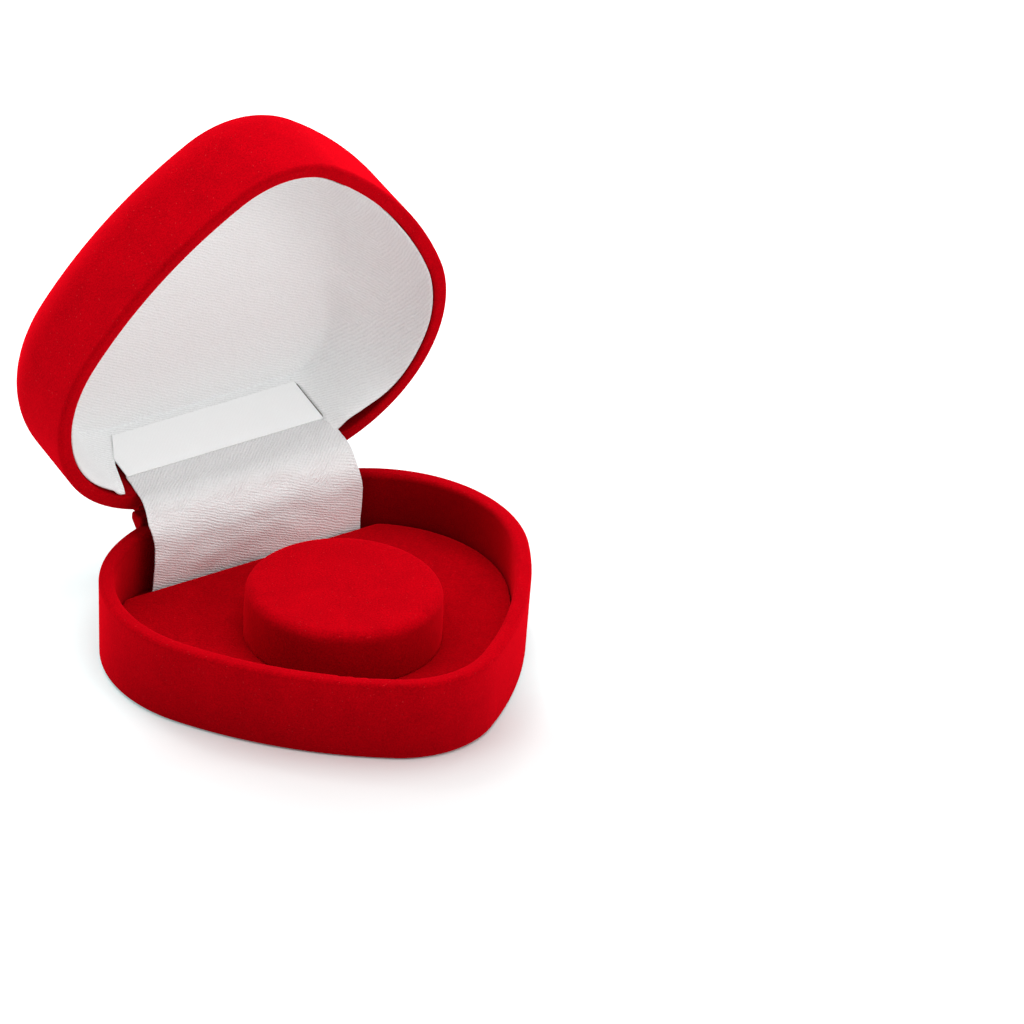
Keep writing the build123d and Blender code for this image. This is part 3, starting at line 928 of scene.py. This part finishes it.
def lining_uv(vertex, face):
    """Threads run across the ceiling and round the wall."""
    x, y, z = vertex.co / MM
    if abs(face.normal.z) > CEILING_NORMAL:
        return (x, y)
    return (math.atan2(y - CEILING_MIDDLE_Y, x) * WALL_ROUND, z)


def lining_piece(name, behind, first_row, keep_from, thickness, cloth, material):
    """One layer of the lining, with the strip's window, swung open with the lid."""
    obj = loft(name, lining_rings(behind, first_row, cloth))
    cut_window(obj, keep_from)
    write_uv(obj, lining_uv)
    drop_layers(obj)
    area = surface_area(obj)
    finish_modifier(obj, "SOLIDIFY", thickness=thickness, offset=1.0, use_even_offset=True)
    obj.data.transform(SWING)
    dress(obj, material)
    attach(obj, "lid")
    return obj, area


def strip_profile(cloth):
    """Middle line of the strip from its top on the lid's wall to its foot, as (y, z)."""
    tab_y = HINGE_WALL_Y - TAB_OFF_WALL
    top = swung(tab_y - TAB_LEAN, TAB_TOP)
    fold = swung(tab_y, STRIP_FOLD)
    drape = cloth.strip_drape / MM
    points = [top.lerp(fold, step / 20) for step in range(21)]
    points += [fold + Vector(step) for step in STRIP_ROLL]
    centre = Vector((STRIP_FOOT_Y + drape, fold.y - STRIP_BEND_DROP - drape))
    first = math.acos((fold.x - STRIP_BEND_BACK - centre.x) / drape)
    for step in range(31):
        angle = first + (math.pi - first) * step / 30
        points.append(centre + Vector((math.cos(angle), math.sin(angle))) * drape)
    last = points[-1]
    for step in range(1, 21):
        share = step / 20
        kick = STRIP_KICK * share * share
        points.append(Vector((last.x + kick, last.y + (STRIP_FOOT_Z - last.y) * share)))
    return points


def lengths_along(points):
    """Distance of each point from the first one."""
    out = [0.0]
    for first, second in zip(points, points[1:]):
        out.append(out[-1] + (second - first).length)
    return out


def velvet_piece(name, rings, cloth):
    """One velvet cover from its rings, and the area it is cut to."""
    obj = loft(name, rings)
    drop_layers(obj)
    area = surface_area(obj)
    finish_modifier(obj, "SOLIDIFY", thickness=cloth.velvet_thickness, offset=-1.0)
    dress(obj, finishes()["Red velvet"])
    return obj, area


def stand(name, data, place, aim, roll=0.0):
    """New lamp or camera at a place, turned to its aim."""
    holder = bpy.data.objects.new(name, data)
    bpy.context.scene.collection.objects.link(holder)
    place = Vector(place)
    turn = (Vector(aim) - place).to_track_quat("-Z", "Y").to_matrix().to_4x4()
    holder.matrix_world = Matrix.Translation(place) @ turn @ Matrix.Rotation(roll, 4, "Z")
    return holder


class HEARTBOX_OT_shells(bpy.types.Operator):
    """Finish the base and lid shells with red flock"""

    bl_idname = "heartbox.shells"
    bl_label = "Flocked shells"

    def execute(self, context):
        for name in ("base_shell", "lid_shell"):
            dress(frame["nodes"][name], finishes()["Red flock"])
        return {"FINISHED"}


class HEARTBOX_OT_platform(bpy.types.Operator):
    """Model the velvet that is pulled over the platform's board"""

    bl_idname = "heartbox.platform"
    bl_label = "Platform velvet"

    def execute(self, context):
        cloth = context.scene.heart_cloth

        def ring(extra, z):
            loop = heart_loop(PLATFORM_INSET + extra, PLATFORM_BACK_Y - extra, PLATFORM_CORNER)
            return [(x, y, z) for x, y in loop]

        rings = [
            ring(PLATFORM_TUCK, PLATFORM_SEAT + PLATFORM_TUCK), ring(0.0, PLATFORM_SEAT + PLATFORM_HEM),
        ]
        rings += [ring(inward, PLATFORM_TOP - drop) for inward, drop in rounded(PLATFORM_EDGE, 6)]

        def sag(x, y, gone):
            wave = PLATFORM_SAG * ripple((x, y, 0), 0.09, 8.0) * fade(gone, 0.0, 3 / 30)
            return wave - PLATFORM_DISH * fade(gone, 0.0, 4 / 30)

        rings += closing_rings(rings[-1], PLATFORM_MIDDLE_Y, 30, sag)
        obj, area = velvet_piece("platform_pile", rings, cloth)
        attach(obj, "base")
        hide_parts("platform_velvet")
        return {"FINISHED"}


class HEARTBOX_OT_pad(bpy.types.Operator):
    """Model the velvet cap of the round pad"""

    bl_idname = "heartbox.pad"
    bl_label = "Pad velvet"

    def execute(self, context):
        cloth = context.scene.heart_cloth
        edge = cloth.pad_edge / MM

        def ring(radius, z):
            angles = [2 * math.pi * step / PAD_POINTS for step in range(PAD_POINTS)]
            return [(radius * math.cos(a), PUCK_Y + radius * math.sin(a), z) for a in angles]

        def crown(x, y, gone):
            share = 1 - gone
            wave = PAD_RIPPLE * ripple((x, y, 0), 0.12, 5.0) * gone
            return wave + PAD_CROWN * (1 - share * share)

        rings = [ring(PAD_HEM_RADIUS, PAD_HEM_Z)]
        for share in (step / 8 for step in range(9)):
            swell = PAD_SWELL * math.sin(math.pi * share)
            height = PAD_FOOT_Z + (PUCK_TOP - edge - PAD_FOOT_Z) * share
            rings.append(ring(PAD_RADIUS + swell, height))
        for inward, drop in rounded(edge, 8)[1:]:
            rings.append(ring(PAD_RADIUS - inward, PAD_FACE_Z - drop))
        rings += closing_rings(rings[-1], PUCK_Y, 18, crown)
        obj, area = velvet_piece("pad_pile", rings, cloth)
        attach(obj, "base")
        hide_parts("puck_velvet")
        return {"FINISHED"}


class HEARTBOX_OT_lining(bpy.types.Operator):
    """Model the lid's satin lining and the card behind it"""

    bl_idname = "heartbox.lining"
    bl_label = "Lid lining"

    def execute(self, context):
        cloth = context.scene.heart_cloth
        satin, area = lining_piece(
            "lid_satin", 0.0, 0, math.inf, cloth.satin_thickness, cloth, finishes()["Lining satin"],
        )
        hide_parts("lining_satin")
        card, _ = lining_piece(
            "lid_card", CARD_BEHIND, 2, CARD_KEEP_X, CARD_THICKNESS * MM, cloth,
            finishes()["Grey card"],
        )
        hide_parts("lining_card")
        return {"FINISHED"}


class HEARTBOX_OT_strip(bpy.types.Operator):
    """Model the satin strip that hangs over the hinge"""

    bl_idname = "heartbox.strip"
    bl_label = "Hinge strip"

    def execute(self, context):
        cloth = context.scene.heart_cloth
        points = strip_profile(cloth)
        along = lengths_along(points)
        fold = TAB_TOP - STRIP_FOLD
        wide = cloth.strip_width / (STRIP_CUT * MM)
        bump = cloth.strip_ripple / MM
        rows, cuts = [], []
        for row, point in enumerate(points):
            before, after = points[max(row - 1, 0)], points[min(row + 1, len(points) - 1)]
            run = (after - before).normalized()
            normal = Vector((-run.y, run.x))
            below = along[row] - fold
            free = fade(below, 0.0, 5.0)
            left, right = between(STRIP_EDGES, below)
            sunk = bell(below, *HOLLOW_AT) - 0.5 * bell(below, *SWELL_AT)
            lifted = STRIP_LIFT * bell(below, *LIFT_AT)
            rows.append([])
            cuts.append([])
            for column in range(STRIP_COLUMNS + 1):
                share = column / STRIP_COLUMNS
                x = (left + (right - left) * share) * wide
                x += STRIP_WANDER * free * ripple((along[row], share * 3.0, 0), 0.2, 2.0)
                fray = STRIP_FRAY * ripple((x, 0, 0), 0.9, 4.0) if row == 0 else 0.0
                wave = bump * free * ripple((x, along[row] * 1.6, 0), 0.13, 6.0)
                wave += STRIP_FINE * bump * free * ripple((x, along[row] * 2.0, 0), 0.5, 9.0)
                hollow = HOLLOW_SHARE + (1 - HOLLOW_SHARE) * fade(x, HOLLOW_END_X, 0.0)
                wave -= HOLLOW_DEPTH * bump * sunk * hollow
                wave += lifted * fade(x, LIFT_FROM_X, LIFT_FULL_X)
                place = point - normal * wave + run * fray
                rows[-1].append((x, place.x, place.y))
                cuts[-1].append((x, along[row]))
        obj = pull("hinge_satin", rows)
        seats = [item.value for item in obj.data.attributes["seat"].data]
        numbers = [item.value for item in obj.data.attributes["row"].data]
        write_uv(obj, lambda vertex, face: cuts[numbers[vertex.index]][seats[vertex.index]])
        drop_layers(obj)
        finish_modifier(obj, "SOLIDIFY", thickness=cloth.satin_thickness, offset=0.0)
        smooth_below(obj, 50)
        dress(obj, finishes()["Strip satin"])
        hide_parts("hinge_strip")
        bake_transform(obj)
        return {"FINISHED"}


class HEARTBOX_OT_spring(bpy.types.Operator):
    """Model the bowed spring leaf that snaps the lid open or shut"""

    bl_idname = "heartbox.spring"
    bl_label = "Snap spring"

    def execute(self, context):
        cloth = context.scene.heart_cloth
        half = OPEN_ANGLE / 2
        pivot = Vector((PIVOT.y, PIVOT.z)) / MM
        peak = Vector((SPRING_Y, pivot.y + (pivot.x - SPRING_Y) * math.tan(half)))
        lid_end = swung(SPRING_Y, SPRING_LID_END)
        lid_hook = swung(SPRING_Y + SPRING_HOOK, SPRING_LID_END)
        base_end = Vector((SPRING_Y, SPRING_BASE_END))
        setback = SPRING_BOW * math.tan(half)
        run = (lid_end - peak).normalized()
        centre = peak + Vector((SPRING_BOW, -setback))
        line = [base_end + Vector(step) for step in ((SPRING_HOOK, 0.0), (0.2, 0.05), (0.0, 0.3))]
        first = peak - Vector((0, setback))
        line += [base_end.lerp(first, step / 12) for step in range(1, 12)]
        line += [
            centre + Vector((math.cos(a), math.sin(a))) * SPRING_BOW
            for a in (math.pi - OPEN_ANGLE * step / 10 for step in range(11))
        ]
        second = peak + run * setback
        line += [second.lerp(lid_end, step / 10) for step in range(1, 10)]
        line += [lid_end.lerp(lid_hook, 0.25), lid_hook]
        columns = [SPRING_WIDTH * (step / 6 - 0.5) for step in range(7)]
        obj = pull("spring_leaf", [[(x, point.x, point.y) for x in columns] for point in line])
        drop_layers(obj)
        finish_modifier(obj, "SOLIDIFY", thickness=cloth.spring_thickness, offset=0.0)
        smooth_below(obj, 35)
        dress(obj, finishes()["Drawn steel"])
        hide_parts("snap_spring")
        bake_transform(obj)
        return {"FINISHED"}


class HEARTBOX_OT_inside(bpy.types.Operator):
    """Finish the pin, the platform's board and the pad's core"""

    bl_idname = "heartbox.inside"
    bl_label = "Inner parts"

    def execute(self, context):
        dress(frame["nodes"]["hinge_pin"], finishes()["Drawn steel"])
        for name in ("platform_board", "puck_core"):
            dress(frame["nodes"][name], finishes()["Grey card"])
        return {"FINISHED"}


class HEARTBOX_OT_stage(bpy.types.Operator):
    """Set up the pale floor, the soft lamps and the camera"""

    bl_idname = "heartbox.stage"
    bl_label = "Stage"

    def execute(self, context):
        stage = context.scene.heart_stage
        colours = context.scene.heart_colours
        scene = context.scene
        scene.view_settings.view_transform = "Standard"
        clear_selection()
        bpy.ops.mesh.primitive_grid_add(x_subdivisions=8, y_subdivisions=8, size=FLOOR_SIZE)
        floor = named(bpy.context.object, "floor")
        material, tree, shader = new_material("Pale floor")
        where = object_place(tree)
        shade = tuple(channel * 0.99 for channel in colours.floor)
        x, y, _ = split(tree, where)
        # Painted light: the floor glows for the camera beside and behind the box and lifts its shadow
        # there; no fill in front of the box, where its shadow falls
        depth = maths(tree, "MULTIPLY_ADD", x, FILL_SLANT, y)
        painted_shadow_lift = ramp(tree, depth, FILL_START, FILL_FULL, stage.backdrop_fill)
        fill(tree, shader, {
            "Base Color": blend_colour(tree, cloudy(tree, where, 3.0), shade, colours.floor),
            "Emission Strength": maths(tree, "MULTIPLY", seen_rays(tree), painted_shadow_lift),
            "Emission Color": FILL_RED_CANCEL_TINT,
            "Roughness": 1.0,
            "Specular IOR Level": 0.0,
        })
        dress(floor, material)

        world = bpy.data.worlds.new("Studio")
        scene.world = world
        world.use_nodes = True
        tree = world.node_tree
        lit = next(item for item in tree.nodes if item.type == "BACKGROUND")
        white = (1.0, 1.0, 1.0, 1.0)
        fill(tree, lit, {"Color": white, "Strength": stage.surround})
        shown = node(tree, "ShaderNodeBackground", {"Color": white, "Strength": 1.0})
        inputs = {0: seen_rays(tree), 1: lit.outputs[0], 2: shown.outputs[0]}
        mixed = node(tree, "ShaderNodeMixShader", inputs)
        end = next(item for item in tree.nodes if item.type == "OUTPUT_WORLD")
        fill(tree, end, {"Surface": mixed.outputs[0]})

        powers = (stage.top_power, stage.back_power, stage.front_power)
        for (name, (place, aim, size)), power in zip(LAMPS.items(), powers):
            lamp = bpy.data.lights.new(name, "AREA")
            lamp.shape = "SQUARE"
            lamp.size = size
            lamp.energy = power
            stand(name, lamp, place, aim)

        lens = bpy.data.cameras.new("camera")
        lens.lens = stage.lens
        lens.sensor_width = 36.0
        lens.clip_start = 0.1
        lens.clip_end = 200.0
        camera = stand("camera", lens, stage.camera_place, stage.camera_aim, stage.roll)
        scene.camera = camera
        return {"FINISHED"}


class HEARTBOX_PT_panel(bpy.types.Panel):
    """Lists the settings and the operators in the sidebar"""

    bl_idname = "HEARTBOX_PT_panel"
    bl_label = "Heart box"
    bl_space_type = "VIEW_3D"
    bl_region_type = "UI"
    bl_category = "Heart box"

    def draw(self, context):
        layout = self.layout
        scene = context.scene
        for settings in (scene.heart_cloth, scene.heart_colours, scene.heart_stage):
            box = layout.box()
            for key in settings.bl_rna.properties.keys():
                if key not in ("rna_type", "name"):
                    box.prop(settings, key)
        for operator in OPERATORS:
            layout.operator(operator.bl_idname)


SETTINGS = (ClothSettings, ColourSettings, StageSettings)
OPERATORS = (
    HEARTBOX_OT_shells,
    HEARTBOX_OT_platform,
    HEARTBOX_OT_pad,
    HEARTBOX_OT_lining,
    HEARTBOX_OT_strip,
    HEARTBOX_OT_spring,
    HEARTBOX_OT_inside,
    HEARTBOX_OT_stage,
)


def register():
    """Register the settings, the operators and the panel."""
    for item in (*SETTINGS, *OPERATORS, HEARTBOX_PT_panel):
        bpy.utils.register_class(item)
    bpy.types.Scene.heart_cloth = bpy.props.PointerProperty(type=ClothSettings)
    bpy.types.Scene.heart_colours = bpy.props.PointerProperty(type=ColourSettings)
    bpy.types.Scene.heart_stage = bpy.props.PointerProperty(type=StageSettings)


def unregister():
    """Take the settings, the operators and the panel out again."""
    del bpy.types.Scene.heart_stage
    del bpy.types.Scene.heart_colours
    del bpy.types.Scene.heart_cloth
    for item in reversed((*SETTINGS, *OPERATORS, HEARTBOX_PT_panel)):
        bpy.utils.unregister_class(item)


def main():
    """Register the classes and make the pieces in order."""
    register()
    bpy.ops.heartbox.shells()
    bpy.ops.heartbox.platform()
    bpy.ops.heartbox.pad()
    bpy.ops.heartbox.lining()
    bpy.ops.heartbox.strip()
    bpy.ops.heartbox.spring()
    bpy.ops.heartbox.inside()
    bpy.ops.heartbox.stage()
    clear_selection()


if __name__ == "__main__":
    main()
